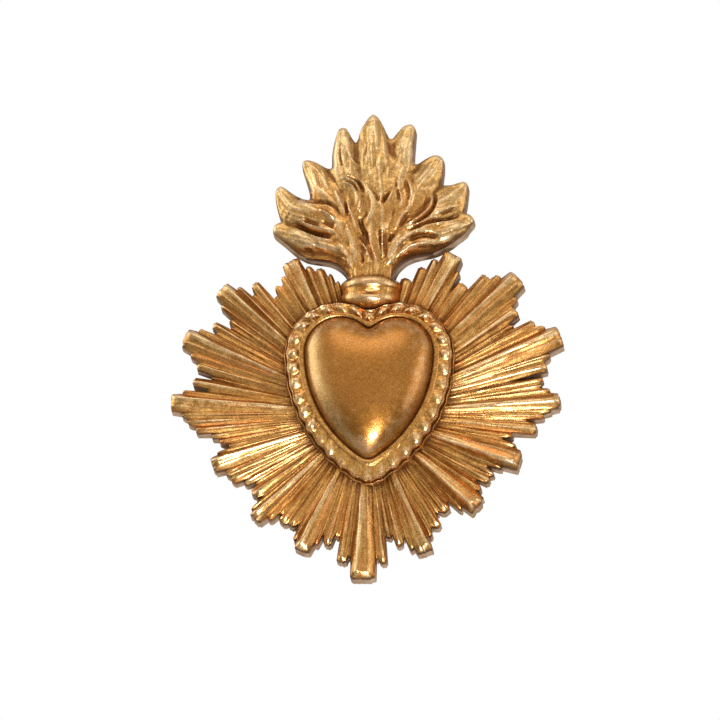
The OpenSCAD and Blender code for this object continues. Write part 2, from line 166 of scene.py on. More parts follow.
# Outline of the flame, from the neck's left side round to its right side
FLAME_OUTLINE = [
    (-5.6, 34.5), (-5.8, 36.6), (-6.4, 38), (-7.4, 39.2), (-8.6, 40.2), (-9.9, 40.9), (-11.3, 41.4),
    (-13.9, 41.8), (-16.6, 42.3), (-17.9, 42.9), (-19.2, 43.6), (-20.8, 44.9), (-22.6, 46.5),
    (-24.2, 47.8), (-25.2, 48.6), (-25.8, 49.7), (-25.6, 50.9), (-25, 51.6), (-24.1, 52), (-23.4, 52.4),
    (-24, 53.4), (-24.8, 56), (-25.2, 57.8), (-25.4, 59.6), (-25.2, 60.9), (-24.6, 61.7), (-23.9, 61.8),
    (-22.8, 61.2), (-21.6, 60.3), (-20.3, 59.4), (-18.7, 58.6), (-17.4, 58.2), (-16.5, 58.2),
    (-16.4, 59.6), (-16.7, 61.4), (-17.1, 62.8), (-18, 65.6), (-18.5, 67.2), (-18.5, 68.3), (-18, 68.9),
    (-17, 69), (-15.5, 68.6), (-13.9, 67.8), (-12.6, 67), (-11.7, 66.7), (-10.9, 66.8), (-10.8, 68.3),
    (-10.8, 70.1), (-10.6, 72), (-10.3, 73.8), (-9.9, 75.4), (-9.5, 76.8), (-9, 77.6), (-8.2, 77.9),
    (-7.4, 77.7), (-6.8, 77), (-6.2, 75.9), (-5.5, 74.7), (-4.7, 73.8), (-4.1, 74.6), (-3.8, 75.9),
    (-3.4, 77.2), (-2.7, 78.6), (-2, 79.8), (-1.2, 80.9), (-0.3, 81.5), (0.7, 81), (1.5, 80),
    (2.2, 78.8), (2.8, 77.5), (3.4, 76.3), (3.9, 75.3), (4.5, 74.8), (5.1, 75), (5.9, 76.1),
    (6.8, 77.2), (7.6, 78.1), (8.5, 78.6), (9.6, 78.8), (10.4, 78.4), (10.8, 77.5), (10.8, 76.3),
    (10.7, 74.7), (10.6, 72.9), (10.5, 71), (10.5, 69.2), (10.8, 68.2), (11.6, 67.9), (12.6, 68.5),
    (13.9, 69.4), (15.2, 70.1), (16.5, 70.4), (17.6, 70), (18.3, 69.2), (18.4, 68.1), (18.4, 66.5),
    (18.2, 64.6), (18.1, 63.3), (18.2, 62.3), (19.3, 62.1), (20.9, 62.3), (22.4, 62.8), (23.7, 63.1),
    (24.6, 62.7), (24.9, 61.8), (24.8, 60.1), (24.6, 57.8), (24.3, 56), (24, 54.7), (24.6, 54.5),
    (25.4, 54.2), (26.2, 53.6), (26.6, 52.8), (26.5, 52), (25.9, 51.2), (25.2, 50.3), (24.6, 49.3),
    (23.6, 48.4), (22.5, 47.6), (21.5, 46.7), (20.7, 46.1), (19.4, 45.3), (17.8, 44.5), (16, 43.8),
    (13.7, 43.3), (11.3, 42.7), (9.2, 41.7), (8.2, 40.9), (7.2, 39.9), (6.4, 38.6), (5.9, 36.6),
    (5.6, 34.5),
]
# Bodies of the flame: across, up, half width and crest height along each
BODIES = [
    [(0, 34.4, 6.4, 9.6), (0, 37, 6.2, 9.7), (0, 40, 5.6, 9.5), (0.2, 44, 3.4, 9)],
    [(-1.5, 38.5, 3, 9), (-8, 43, 3.4, 8.8), (-14, 45.6, 3.6, 8.2), (-19.4, 47.6, 3.8, 7.2),
     (-24.4, 49.2, 2.4, 5.9)],
    [(-3, 42, 3, 9.4), (-9, 50, 4.2, 9.6), (-15, 53, 4.2, 8.8), (-20.6, 55, 3.6, 7.4),
     (-23.9, 59, 1.6, 5.9)],
    [(-4, 49, 3.4, 9), (-9, 56, 4.8, 8.8), (-12.8, 61, 4.8, 7.8), (-15.3, 64.8, 3, 6.6),
     (-17, 67, 1.6, 5.8)],
    [(-3, 54, 3.4, 9), (-6, 62, 4.2, 8.6), (-7.2, 68, 4, 7.8), (-7.7, 73.4, 3, 6.8),
     (-8, 76, 1.6, 5.8)],
    [(2, 44, 4, 9.4), (2, 54, 5.4, 9.6), (1.4, 62, 5.6, 9), (0.6, 68, 5.4, 8.2), (0, 74.8, 4, 7),
     (-0.2, 79.4, 2, 6)],
    [(4, 52, 3.4, 9), (6, 61, 4.2, 8.8), (7.6, 68, 4, 7.8), (8.5, 74, 3.2, 6.8), (9.2, 77.2, 1.8, 5.8)],
    [(5, 50, 3.4, 9), (9.6, 57, 4.6, 9), (13, 62.6, 4.6, 8), (15.4, 66.4, 3.4, 6.8),
     (16.7, 69, 1.8, 5.8)],
    [(4, 43, 3, 9), (11.4, 50.4, 4, 9.2), (17.4, 56, 4.4, 8.2), (21.4, 59.2, 3.8, 7),
     (23.6, 61.4, 2, 5.9)],
    [(1.5, 38.5, 3, 9), (8.4, 44.2, 3.6, 9), (15, 47.8, 4.4, 8.2), (21.2, 50.2, 4.2, 7.2),
     (25, 52, 2.4, 5.9)],
]
# Fine crests and grooves on them: height, width, and the line itself
LINES = [
    (-0.7, 0.45, [(-16.3, 56.9), (-13.4, 56.8), (-11.3, 56.4), (-10, 55.7), (-8.9, 54.7), (-8.1, 53.5),
     (-7.5, 52)]),
    (0.35, 0.5, [(-19.7, 56.5), (-16.5, 56.2), (-13.4, 55.9), (-11.3, 55.3), (-9.7, 54.2),
     (-8.6, 52.8)]),
    (0.9, 0.5, [(-14.1, 55), (-13, 54.3), (-11.7, 53.4), (-10.4, 52.4), (-9.1, 51.6)]),
    (-1, 0.7, [(-18.3, 52.4), (-16.9, 51.7), (-15.4, 51.1), (-13.8, 50.6), (-12.5, 50.4)]),
    (-0.8, 0.9, [(-13.2, 51), (-11.7, 50.6), (-10.1, 50.1), (-8.8, 49.7)]),
    (0.4, 0.4, [(-19.6, 52.5), (-17.7, 51.3), (-15.9, 50.4), (-13.8, 49.7), (-11.7, 49), (-9.5, 48.2)]),
    (-1.1, 0.5, [(-21.7, 52), (-20.1, 51.3), (-18.5, 50.4), (-16.9, 49.3), (-15.3, 48.5), (-13.5, 48),
     (-11.4, 47.6), (-9.3, 47.3), (-8.2, 46.6)]),
    (0.8, 0.5, [(-19.5, 49.7), (-17.6, 48.7), (-16, 47.8), (-14.4, 47.1), (-12.6, 46.7), (-10.8, 46.2),
     (-8.9, 45.4)]),
    (0.5, 1.6, [(-21.9, 50.1), (-19.7, 48.5), (-17.6, 46.9), (-15.5, 45.5), (-13.6, 45)]),
    (-1.5, 1.4, [(-19.9, 43.7), (-17.8, 43.5), (-15.2, 43.2), (-12.6, 43), (-10.2, 42.4), (-8.3, 41.3),
     (-7, 40), (-5.9, 38.5)]),
    (0.7, 0.7, [(-5, 37), (-5.1, 39.1), (-5.7, 41.3), (-6.8, 43.2), (-8.1, 44.5), (-10, 45.2)]),
    (0.5, 1, [(-3.5, 37.6), (-3.8, 40.1), (-4.4, 42.5), (-5.2, 44.9), (-6.1, 47.4), (-6.6, 49.8),
     (-7, 52.3)]),
    (0.8, 0.4, [(-2.9, 47), (-2.1, 45.5), (-1.3, 44.1), (-0.6, 42.6), (0, 41), (0.4, 39.1)]),
    (0.8, 0.45, [(-0.7, 49.1), (-0.4, 47.5), (0, 45.7), (0.6, 44), (1.1, 42.1), (1.6, 39.9)]),
    (-0.4, 0.4, [(-2.5, 43.2), (-1.9, 41.6), (-1.5, 39.4)]),
    (0.5, 0.35, [(1.6, 49.1), (2, 47.2), (2.3, 45.1), (2.5, 43.2)]),
    (-0.5, 0.35, [(2.2, 50.8), (2.5, 48), (2.7, 45.1), (3, 41.6)]),
    (0.5, 0.4, [(3.7, 51), (3.3, 48.9), (3.1, 46.4), (3.2, 43.7), (3.4, 40.5)]),
    (-0.5, 0.5, [(4.4, 49.7), (4, 47), (4, 44), (4.1, 40.5)]),
    (-0.8, 0.45, [(5.8, 48), (5.2, 46.8), (4.7, 45.5)]),
    (0.6, 0.7, [(4.9, 38.4), (5.3, 40.6), (5.9, 42.7), (6.8, 44.6), (8.1, 46.1), (9.6, 47.2),
     (11.4, 48.1), (13.2, 48.6), (15, 48.8), (17.1, 48.6)]),
    (0.4, 0.4, [(4.5, 40), (4.8, 42.2), (5.5, 44.2), (6.6, 46.1), (8, 47.7)]),
    (-0.4, 0.4, [(6.3, 40.1), (6.9, 42.2), (8, 44.1), (9.4, 45.6)]),
    (-1.3, 0.8, [(9.3, 45.9), (10.9, 46.8), (12.9, 47.6), (15, 47.8), (17.1, 47.3), (18.4, 46.6)]),
    (0.7, 0.6, [(8.3, 42.9), (10.1, 44.3), (12.2, 45.1), (14.5, 45.4), (16.9, 45.6), (18.9, 46.3)]),
    (-0.4, 0.4, [(11.4, 44.1), (13.2, 44.4), (15.3, 44.9), (17.4, 45.1)]),
    (-1.5, 1.2, [(6.5, 39.3), (7.3, 40.8), (8.6, 41.7), (10.7, 42.4), (13, 43), (15.3, 43.6),
     (17.4, 44.4), (19.2, 45.4), (21, 46)]),
    (0.4, 1.5, [(17.5, 49.7), (20.1, 50.7), (22.4, 51.3), (24.8, 51.6)]),
    (-1, 0.45, [(8.2, 48.9), (10, 49), (11.8, 49.6), (13.9, 50.7), (15.7, 51.4), (17.5, 51.8),
     (19.6, 52.4), (21.6, 53.1), (23.5, 53.6)]),
    (0.45, 0.4, [(10, 49.7), (12.1, 50.5), (14.1, 51.6), (15.9, 52.3), (18, 52.7)]),
    (0.4, 0.5, [(14.9, 50.3), (17.2, 51.1), (19.8, 51.8), (22.4, 52.7), (24.5, 53.1)]),
    (0.6, 0.45, [(16.2, 53.4), (17.5, 54), (19, 54.6), (20.6, 55.5), (22.4, 56.4)]),
    (-0.5, 0.4, [(17.5, 53.2), (19, 53.7), (20.6, 54.6), (22.1, 55.5)]),
    (0.3, 0.6, [(16.9, 56.5), (18.7, 57.2), (20.7, 58.3), (22.8, 59.5)]),
    (-1, 0.45, [(16.1, 60.3), (16.6, 58.4), (16.6, 56.5), (15.9, 54.7), (14.8, 53.2), (13.4, 52),
     (11.8, 50.9), (10, 49.8)]),
    (0.8, 0.5, [(14.7, 60.7), (15.6, 59), (15.7, 57.1), (15.3, 55.4), (14.4, 54), (13, 52.6),
     (11.4, 51.5), (9.8, 50.5), (8, 49.3)]),
    (-0.4, 0.5, [(13.5, 59.4), (14.3, 57.5), (13.8, 55.6), (12.7, 54), (11.2, 52.7), (9.5, 51.6)]),
    (0.6, 0.35, [(6.9, 62.5), (7.1, 60.8), (7.6, 59.2), (7.9, 57.6), (7.7, 55.9), (7.1, 54.4)]),
    (-0.5, 0.4, [(6.5, 63.5), (6.4, 61.6), (6.7, 59.7), (7.1, 57.8), (7, 56.2)]),
    (-0.6, 0.6, [(8.3, 64.1), (8.9, 61.9), (9.5, 60), (9.7, 58.1), (9.4, 56.2), (8.6, 54.6),
     (7.7, 53.2)]),
    (0.5, 0.5, [(8.8, 64.1), (9.8, 61.9), (10.4, 59.7), (10.6, 57.6), (10.1, 55.7), (9.2, 54),
     (8, 52.5)]),
    (0.4, 0.5, [(9.7, 54.6), (8.7, 53.4), (7.7, 51.9), (6.8, 50.1), (6.1, 48.5)]),
    (-0.4, 0.5, [(10.2, 53.7), (9.1, 52.3), (8.2, 50.8), (7.2, 49.2)]),
    (0.4, 0.5, [(5.5, 53.7), (4.9, 51.8), (4.2, 49.9), (3.7, 48)]),
    (-0.35, 0.6, [(6.5, 55.3), (5.7, 53.1), (4.9, 51), (4.5, 48.8)]),
    (-0.45, 0.5, [(5.6, 60.8), (4.6, 59.2), (3.6, 57.4), (2.8, 55.7)]),
    (0.4, 0.35, [(3.4, 59.7), (3, 58.1), (2.7, 56.2)]),
    (0.4, 0.6, [(15.9, 66.8), (14.4, 65.2), (12.8, 63.3), (12, 61.4)]),
    (-0.4, 0.6, [(11, 64.9), (10.7, 62.8), (11.2, 60.6), (12.1, 58.4)]),
    (-0.35, 0.8, [(8.1, 65.5), (9.9, 65.3), (11.7, 65.7), (13.3, 66.7)]),
    (0.3, 0.5, [(17.3, 62.7), (16, 61.4), (14.3, 60.3), (12.6, 59.5)]),
    (-0.35, 0.4, [(-1.3, 73.7), (-1.7, 71.5), (-2.1, 69.3), (-2, 67.1), (-1.4, 65.2)]),
    (0.3, 0.35, [(-1.9, 72.9), (-2.4, 70.7), (-2.6, 68.5), (-2.4, 66.6), (-2, 64.9)]),
    (0.3, 0.4, [(-0.7, 71.9), (-1.3, 70), (-1.4, 68.1), (-1, 65.9), (-0.3, 63.8), (0.2, 61.9)]),
    (-0.25, 0.7, [(1.9, 71.1), (1.2, 68.9), (0.6, 66.8), (0.2, 64.6)]),
    (-0.25, 0.7, [(3.9, 67.3), (3.3, 65.4), (2.5, 63.5), (2.2, 61.6)]),
    (0.25, 0.8, [(2.4, 73.6), (2.5, 70.8), (2.1, 68.1), (1.5, 65.4)]),
    (0.3, 1, [(0.1, 79.3), (0.2, 76.6), (0.5, 73.8), (0.5, 71.1)]),
    (-0.25, 0.6, [(2.6, 76.4), (3.5, 73.7), (4.7, 70.9), (5.8, 68.8)]),
    (-0.2, 1.1, [(4.8, 73.2), (5.2, 71.6), (5.8, 69.9), (6.4, 68.3)]),
    (0.35, 0.9, [(9.6, 76.8), (9.3, 74.4), (8.5, 71.6), (8, 68.9), (7.7, 66.2)]),
    (-0.3, 0.5, [(7.8, 71.8), (7.6, 69.7), (7.6, 67.5), (8.1, 65.6)]),
    (0.3, 0.6, [(4, 70.9), (4.9, 68.9), (6.1, 67.1), (7.3, 65.5)]),
    (-0.45, 0.35, [(-8.2, 74.3), (-8.5, 72.1), (-8.5, 69.9), (-8.1, 67.7), (-7.4, 65.8), (-6.7, 64.2)]),
    (0.35, 0.35, [(-7.6, 73.2), (-7.9, 71.3), (-8, 69.3), (-7.5, 67.4), (-6.9, 65.8)]),
    (-0.45, 0.6, [(-6.9, 71), (-6.6, 69.1), (-6.5, 67.2), (-6.6, 65.3)]),
    (0.4, 0.5, [(-6.1, 71), (-5.7, 69.3), (-4.8, 67.8), (-3.6, 66.6)]),
    (-0.3, 0.4, [(-5.3, 69.6), (-4.4, 68.1), (-3.2, 67.3)]),
    (0.3, 0.7, [(-9.1, 75.8), (-9.5, 73.3), (-9.7, 70.6), (-9.4, 67.8), (-8.8, 65.6)]),
    (-0.25, 1.3, [(-6, 73.8), (-5.3, 71.6), (-4.2, 69.7), (-3, 68.4)]),
    (0.45, 0.45, [(-17.4, 67.3), (-16.2, 65.8), (-15.3, 64), (-14.8, 62.1), (-14.1, 60.4),
     (-12.9, 58.8), (-11.4, 57.7)]),
    (-0.4, 0.5, [(-15.9, 67), (-14.8, 65.4), (-14.2, 63.5), (-13.7, 61.6), (-13, 59.9)]),
    (0.3, 0.6, [(-14.3, 67.3), (-13.2, 65.4), (-12.4, 63.2), (-11.9, 61), (-10.7, 58.8)]),
    (-0.3, 0.7, [(-11.9, 65.4), (-11.5, 63.2), (-11, 61), (-9.9, 59.1)]),
    (-0.25, 0.7, [(-11, 65), (-10.2, 63.4), (-9.4, 61.9)]),
    (0.6, 0.45, [(-9.1, 62.4), (-8.3, 63), (-7.2, 63.2), (-5.9, 63), (-4.6, 62.2), (-3.7, 61.1),
     (-3, 59.8), (-2.6, 58.1)]),
    (-0.7, 0.4, [(-8, 63.7), (-6.7, 63.7), (-5.2, 63.2), (-4, 62.5), (-3, 61.3), (-2.3, 59.8),
     (-1.8, 58.4)]),
    (-0.5, 0.3, [(-7.8, 62.5), (-6.2, 62.2), (-5, 61.5), (-4, 60.3), (-3.4, 58.7)]),
    (0.5, 0.35, [(-8, 62.1), (-6.4, 61.7), (-5.2, 61), (-4.3, 59.8), (-3.8, 58.1), (-3.6, 56.2),
     (-3.7, 54.9)]),
    (-0.6, 1.2, [(-7.7, 61.9), (-6.9, 60.6), (-6, 59), (-5.1, 57), (-4.7, 55.4), (-4.8, 54.1)]),
    (-0.3, 0.9, [(-8.4, 61.1), (-7.9, 59.5), (-7.3, 57.6), (-6.8, 55.7)]),
    (0.6, 0.4, [(-6.4, 58.4), (-6.2, 57), (-5.9, 55.4), (-5.3, 53.8), (-4.6, 52.2), (-4.2, 50.3),
     (-4, 48.6)]),
    (-0.6, 0.35, [(-6.8, 57), (-6.6, 55.4), (-6.3, 53.8), (-6.1, 52.2)]),
    (0.4, 0.6, [(-10.1, 61.4), (-9.5, 59.5), (-8.7, 57.6), (-7.9, 55.7), (-7.2, 53.8), (-6.7, 51.9)]),
    (0.7, 0.35, [(-2.6, 57.9), (-2.8, 56.2), (-3, 54.6), (-3, 53.5)]),
    (0.45, 0.9, [(-4.4, 63.2), (-2.5, 62.4), (-1, 60.6), (0, 58.4), (0.5, 56.2), (0.1, 54.1),
     (-0.5, 52.2), (-1.3, 50.3), (-1.2, 48.4)]),
    (-0.6, 0.5, [(-1.5, 61.9), (-0.4, 60.4), (0.7, 59.1), (1.5, 57.5), (2.1, 55.7)]),
    (-0.4, 0.6, [(-0.7, 58.7), (-0.3, 56.5), (-0.5, 54.3), (-1.3, 52.7), (-2.3, 51.3)]),
    (-0.7, 0.6, [(-3, 52.4), (-2.6, 50.8), (-2, 49.2), (-1.3, 47.6), (-0.6, 45.9)]),
    (-0.75, 0.65, [(-7.4, 51.3), (-7, 49.7), (-6.6, 48.1), (-6, 46.5), (-5.4, 44.6), (-4.8, 42.9)]),
    (0.6, 0.4, [(2.8, 59.8), (2.7, 58.1), (2.4, 56.5), (2.2, 54.9)]),
    (-0.45, 0.45, [(5.1, 59.8), (4.1, 58.1), (3.2, 56.5), (2.6, 54.9)]),
    (-0.4, 0.7, [(0.9, 51.1), (1.4, 48.9), (2, 46.5), (2.6, 43.8)]),
]

# Colours of the gilding and of what lies under it
GOLD_DARK = (0.272, 0.106, 0.014, 1)
GOLD_LIGHT = (0.52, 0.275, 0.068, 1)
GOLD_WARM = (0.43, 0.170, 0.026, 1)
GOLD_DOME = (0.28, 0.100, 0.006, 1)
# Paler gold of the flame's tips, also used for a painted reflection on the dome's left flank
GOLD_PALE_AND_SHEEN = (0.44, 0.29, 0.10, 1)
GOLD_WORN = (0.70, 0.50, 0.27, 1)
PATINA = (0.12, 0.037, 0.005, 1)
RED_GROUND = (0.46, 0.155, 0.024, 1)
CLAY_DARK = (0.31, 0.18, 0.085, 1)
CLAY_LIGHT = (0.49, 0.33, 0.19, 1)
# Factors of the brushed streaks and of the flecks
STREAK_DARK = (0.73, 0.67, 0.52, 1)
STREAK_LIGHT = (1.19, 1.27, 1.30, 1)
FLECK_DARK = (0.78, 0.75, 0.68, 1)
FLECK_LIGHT = (1.34, 1.33, 1.34, 1)

# Camera, in metres: place that it looks at, distance, and width seen there
AIM = Vector((-0.00213, -0.0065, -0.0076))
DISTANCE = 1.5
VIEW_WIDTH = 0.1864
# Width of its sensor in millimetres, and how it is turned
SENSOR = 36
AZIMUTH = math.radians(4.6)
ELEVATION = math.radians(-15)
ROLL = math.radians(1.3)


def smoothstep(x):
    x = np.clip(x, 0, 1)
    return x * x * (3 - 2 * x)


def lattice(ix, iy, seed):
    n = np.sin(ix * 127.1 + iy * 311.7 + seed * 74.7) * 43758.5453
    return n - np.floor(n)


def noise(x, y, seed):
    """Smooth noise from -1 to 1, the same on each run."""
    ix, iy = np.floor(x), np.floor(y)
    fx, fy = smoothstep(x - ix), smoothstep(y - iy)
    a = lattice(ix, iy, seed) * (1 - fx) + lattice(ix + 1, iy, seed) * fx
    b = lattice(ix, iy + 1, seed) * (1 - fx) + lattice(ix + 1, iy + 1, seed) * fx
    return 2 * (a * (1 - fy) + b * fy) - 1


def bell(sigma, reach):
    """Whole steps out to reach on both sides, and their weights in a mean."""
    steps = np.arange(-reach, reach + 1)
    weights = np.exp(-steps ** 2 / (2 * sigma ** 2))
    return steps, weights / weights.sum()


def around(a, sigma):
    """Smooths values along a closed ring."""
    steps, weights = bell(sigma, int(3 * sigma) + 1)
    return sum(w * np.roll(a, step, axis=0) for step, w in zip(steps, weights))


def blur(a, sigma):
    """Smooths a grid in both directions."""
    _, weights = bell(sigma, int(3 * sigma))
    for axis in (0, 1):
        a = np.apply_along_axis(lambda row: np.convolve(row, weights, mode="same"), axis, a)
    return a


def curve(points, step, closed=False):
    """A smooth line through the points, with any number of columns."""
    p = np.array(points, float)
    if closed:
        q = np.vstack([p[-1], p, p[0], p[1]])
    else:
        q = np.vstack([2 * p[0] - p[1], p, 2 * p[-1] - p[-2]])
    out = []
    for i in range(1, len(q) - 2):
        p0, p1, p2, p3 = q[i - 1], q[i], q[i + 1], q[i + 2]
        n = max(2, int(np.linalg.norm((p2 - p1)[:2]) / step + 0.5))
        t = (np.arange(n) / n)[:, None]
        out.append(0.5 * (2 * p1 + (p2 - p0) * t + (2 * p0 - 5 * p1 + 4 * p2 - p3) * t ** 2
                          + (3 * p1 - p0 - 3 * p2 + p3) * t ** 3))
    if not closed:
        out.append(p[-1:])
    return np.vstack(out)


def to_line(points, line):
    """For each point: signed distance to the line (left positive) and place
    along it from 0 to 1."""
    a, b = line[:-1, :2], line[1:, :2]
    d = b - a
    length = np.linalg.norm(d, axis=1)
    start = np.concatenate([[0], np.cumsum(length)])[:-1]
    best = np.full(len(points), 1e9)
    side = np.zeros(len(points))
    along = np.zeros(len(points))
    for i in range(len(a)):
        v = points - a[i]
        t = np.clip((v @ d[i]) / (length[i] ** 2), 0, 1)
        w = v - t[:, None] * d[i]
        dist = np.hypot(w[:, 0], w[:, 1])
        near = dist < best
        best[near] = dist[near]
        cross = d[i, 0] * v[:, 1] - d[i, 1] * v[:, 0]
        side[near] = np.sign(cross[near])
        along[near] = (start[i] + t[near] * length[i]) / (start[-1] + length[-1])
    return best * np.where(side == 0, 1, side), along


def inside(points, poly):
    """Whether each point lies inside the closed outline."""
    x, y = points[:, 0], points[:, 1]
    hit = np.zeros(len(points), bool)
    x0, y0 = poly[:, 0], poly[:, 1]
    x1, y1 = np.roll(x0, -1), np.roll(y0, -1)
    for i in range(len(poly)):
        crosses = (y0[i] > y) != (y1[i] > y)
        with np.errstate(divide="ignore", invalid="ignore"):
            at = x0[i] + (y - y0[i]) * (x1[i] - x0[i]) / (y1[i] - y0[i])
        hit ^= crosses & (x < at)
    return hit


def closed_mesh(name, verts, faces):
    """A mesh from design millimetres, in metres in the part's frame."""
    v = np.asarray(verts, float)
    world = np.column_stack([v[:, 0], -v[:, 2], v[:, 1] - HOLE_Y]) / 1000
    mesh = bpy.data.meshes.new(name)
    mesh.from_pydata(world.tolist(), [], [list(map(int, f)) for f in faces])
    mesh.validate()
    mesh.update()
    obj = bpy.data.objects.new(name, mesh)
    bpy.context.scene.collection.objects.link(obj)
    return obj


def loft(name, first, loops, last):
    """Closes loops of the same length with a point at each end."""
    m, n = len(loops), len(loops[0])
    verts = np.vstack([np.vstack(loops), first, last])
    i = np.arange(n)
    j = (i + 1) % n
    faces = [(m * n, a, b) for a, b in zip(i, j)]
    for k in range(m - 1):
        faces += list(zip(k * n + i, (k + 1) * n + i, (k + 1) * n + j, k * n + j))
    faces += [(m * n + 1, (m - 1) * n + b, (m - 1) * n + a) for a, b in zip(i, j)]
    return closed_mesh(name, verts, faces)


def ray_swell(a):
    """How far each angle lies on a main ray, from 0 to 1."""
    r = np.array(RAYS)
    d = np.abs(a[:, None] - r[None, :])
    d = np.where(d > 180, 360 - d, d) / RAY_SPREAD
    return np.where(d > 1, 0, 0.5 + 0.5 * np.cos(np.pi * d)).max(axis=1)


def flute_profile(number, span, middle):
    """Heights across one flute, as shares of its width and height."""
    if span <= BROAD_ANGLE:
        edge = 0.5 - NARROW_STRIP / 2
        rise = [(0, 0), (edge * 0.3, 0.2), (edge * 0.65, 0.56), (edge, 0.94)]
        return rise + [(0.5, 1.02)] + [(1 - place, h) for place, h in reversed(rise)]
    # The wide facet looks down on both sides of the sunburst, bar a few
    on_right = middle < 90 or middle > 270
    if on_right == (number % 7 == 0):
        return BROAD_PROFILE
    return [(1 - place, h) for place, h in reversed(BROAD_PROFILE)]


def make_sunburst():
    """Rings of points over the flutes, from the middle out and down the walls."""
    rows = []
    for number, (begin, reach) in enumerate(FLUTES):
        a = begin + FLUTE_GAP
        b = (FLUTES[number + 1][0] if number + 1 < len(FLUTES) else 360) - FLUTE_GAP
        span = b - a
        crest = min(math.radians(span) * reach * FLUTE_PITCH, VALLEY_DEPTH * 1.3)
        for place, h in flute_profile(number, span, (a + b) / 2):
            rows.append((a + span * place, reach, crest, h, number))
    angle, reach, crest, shape, flute = np.array(rows, float).T
    swell = ray_swell(angle)
    turned = angle - math.degrees(SKEW) * np.cos(np.radians(angle)) ** 2

    def top(r):
        share = r / reach
        rough = (0.10 * noise(angle * 1.3, r * 0.1, 3) + 0.07 * noise(angle * 2.9, r * 0.12, 5)
                 + 0.04 * noise(angle * 2, r, 6))
        wear = 0.12 * noise(flute * 3.3, r * 0.12, 8) * shape
        return (EDGE_T - VALLEY_DEPTH * (1 - RAY_SHARE * swell) + BURST_RISE * (1 - share)
                + crest * (0.12 + 0.82 * shape) * share + rough + wear)

    ragged = 0.3 * noise(angle * 1.9, angle * 0 + 2.5, 61) + 0.2 * noise(angle * 0.7, angle * 0 + 7.5, 63)
    reach = reach + np.minimum(ragged, 0.05) - 0.35 * (shape < 0.3)

    def ring(r, z):
        w = 0.06 * noise(angle * 2.3, r * 0.4, 11) / np.maximum(r, 1) * 57
        a = np.radians(turned + np.where(shape > 0.3, w, 0))
        return np.column_stack([r * np.cos(a), r * np.sin(a), z])

    loops = []
    out = reach - NOSE
    for s in np.linspace(0, 1, 13) ** 0.9:
        r = FLUTE_START + (out - FLUTE_START) * s
        loops.append(ring(r, top(r)))
    end_top = top(out)
    for s in (0.25, 0.5, 0.75, 0.92):
        loops.append(ring(out + NOSE * s, end_top - (crest * shape * 0.6 + 0.3) * s ** 1.6))
    low = end_top - crest * shape * 0.6 - 0.5
    loops.append(ring(reach, low))
    loops.append(ring(reach + 0.08, low - 0.5))
    for s in (0.35, 0.7):
        loops.append(ring(reach + DRAFT * s, (low - 0.5) * (1 - s)))
    loops.append(ring(reach + DRAFT - 0.1, np.zeros_like(reach)))
    return loft("sunburst", (0, 0, EDGE_T + BURST_RISE), loops, (0, 0, 0))


def heart_outline(g):
    """Heart outline with stations along each crimp; g may be an array of one
    value per station, from 0 at the groove to 1 at the rim's edge."""
    nl, ns = LOBE_CRIMPS * CRIMP_STATIONS, SIDE_CRIMPS * CRIMP_STATIONS
    half = nl + ns
    g = np.broadcast_to(np.asarray(g, float), (2 * half,))
    k = np.arange(2 * half)
    left = k > half
    j = np.where(left, k - half, half - k)
    lr = LOBE_R + 0.88 * RIM_W * g
    hw = HEART_HALF_W + 0.97 * RIM_W * g
    wy = HEART_Y - 0.5 * g
    dr = HEART_DROP + 1.08 * RIM_W * g
    sr = (hw * hw + dr * dr) / (2 * hw)
    notch = np.pi - np.arccos((hw - lr) / lr)
    span = np.arcsin(dr / sr)
    on_lobe = j < nl
    a = np.where(on_lobe, notch * (1 - j / nl), -span * (j - nl) / ns)
    x = np.where(on_lobe, hw - lr + lr * np.cos(a), hw - sr + sr * np.cos(a))
    y = np.where(on_lobe, wy + lr * np.sin(a), wy + sr * np.sin(a))
    x = np.where(left, -x, x)
    line = np.column_stack([x + HEART_X + HEART_LEAN * (y - 5), y])
    # The notch and the tip are a little rounded
    near = np.maximum(np.exp(-(j / 9) ** 2), np.exp(-((half - j) / 5) ** 2))[:, None]
    return line * (1 - near) + around(line, 5) * near


